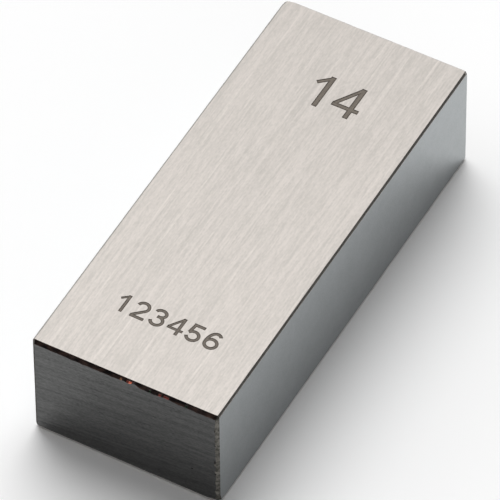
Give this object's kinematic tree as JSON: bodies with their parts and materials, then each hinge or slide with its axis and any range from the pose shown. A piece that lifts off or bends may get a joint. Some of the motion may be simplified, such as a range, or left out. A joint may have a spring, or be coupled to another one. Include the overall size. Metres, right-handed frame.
{
  "type": "gauge block",
  "caption": "Rectangular steel gauge block for setting and checking lengths: two parallel lapped measuring faces a nominal length apart, with chamfered edges and a marked side face.",
  "frame": {"origin": "middle of the plain side face that the block lies on", "axes": "+X along the gauge length, square to the two measuring faces; +Y along the long sides of the measuring faces, towards the end with the size mark; +Z out of the marked side face"},
  "size_m": [0.014, 0.0348, 0.0088],
  "materials": {
    "steel": "hardened steel: side and end faces fine ground, measuring faces lapped"
  },
  "bodies": {
    "root": {"gauge_block": "steel"}
  },
  "joints": []
}
